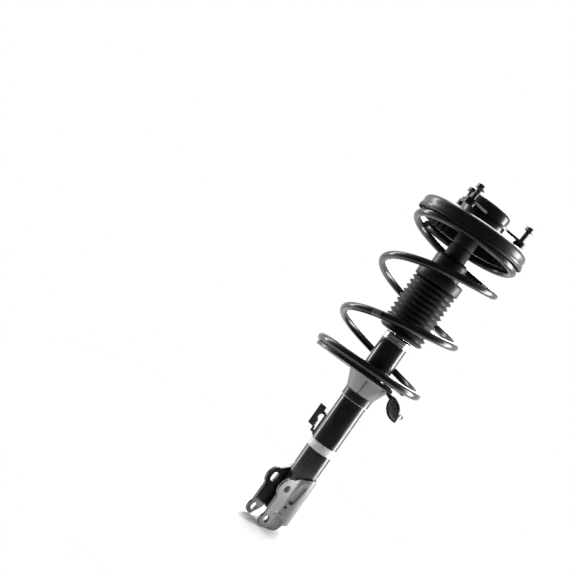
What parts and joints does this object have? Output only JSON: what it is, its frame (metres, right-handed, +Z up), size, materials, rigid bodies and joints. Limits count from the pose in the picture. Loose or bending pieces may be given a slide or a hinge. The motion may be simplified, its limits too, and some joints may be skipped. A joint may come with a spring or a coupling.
{
  "type": "strut assembly",
  "caption": "Suspension strut with a telescopic damper, a coil spring on a tilted seat, a swivelling studded top mount and a clevis bracket for the wheel knuckle.",
  "frame": {"origin": "centre of the three mounting studs, on the top face of the mount plate", "axes": "+Z up along the damper axis; the knuckle bracket opens towards -Y and its bolts lie along X"},
  "size_m": [0.1851, 0.2072, 0.6173],
  "materials": {
    "black_coat": "satin black electro-coat",
    "coil_coat": "gloss black powder coat",
    "zinc_steel": "dull zinc plate",
    "bright_steel": "turned and bright",
    "bare_steel": "machined",
    "chromed_rod": "ground and chromed",
    "black_rubber": "matt moulded rubber",
    "boot_plastic": "semi-gloss moulded elastomer",
    "stop_foam": "moulded cellular elastomer",
    "band_plastic": "filled PTFE",
    "white_label": "plain printed film"
  },
  "bodies": {
    "top_mount": {"mount_plate": "black_coat", "mount_dome": "black_coat", "mount_studs": "zinc_steel", "stud_nuts": "zinc_steel", "mount_rubber": "black_rubber", "mount_core": "bare_steel", "rod_nut": "zinc_steel", "bearing_cup": "black_coat", "upper_race": "bare_steel", "bump_washer": "bare_steel", "piston_rod": "chromed_rod", "piston": "bare_steel", "piston_band": "band_plastic", "piston_nut": "bare_steel", "rebound_stop": "bare_steel", "bump_stop": "stop_foam", "dust_boot": "boot_plastic"},
    "spring_head": {"upper_seat": "black_coat", "upper_isolator": "black_rubber", "lower_race": "bare_steel", "bearing_balls": "bare_steel", "coil_spring": "coil_coat"},
    "strut_lower": {"strut_tube": "black_coat", "tube_base": "black_coat", "gland_nut": "bright_steel", "rod_seal": "black_rubber", "rod_guide": "bare_steel", "pressure_tube": "bare_steel", "base_valve": "bare_steel", "label_band": "white_label", "knuckle_bracket": "black_coat", "hose_bracket": "black_coat", "seat_collar": "black_coat", "seat_cone": "black_coat", "lower_seat": "black_coat", "lower_pad": "black_rubber", "clip_tab": "black_coat", "tab_nut": "zinc_steel", "tab_stud": "zinc_steel"}
  },
  "joints": [
    {"name": "steer_swivel", "type": "hinge", "parent": "top_mount", "child": "spring_head", "pos_m": [0, 0, 0], "axis": [0, 0, 1], "range_deg": [-40, 40]},
    {"name": "damper_stroke", "type": "slide", "parent": "spring_head", "child": "strut_lower", "axis": [0, 0, 1], "range_m": [0, 0.098], "stiffness_N_per_m": 26000, "springref_m": -0.04, "deforming": ["coil_spring", "dust_boot"]}
  ]
}
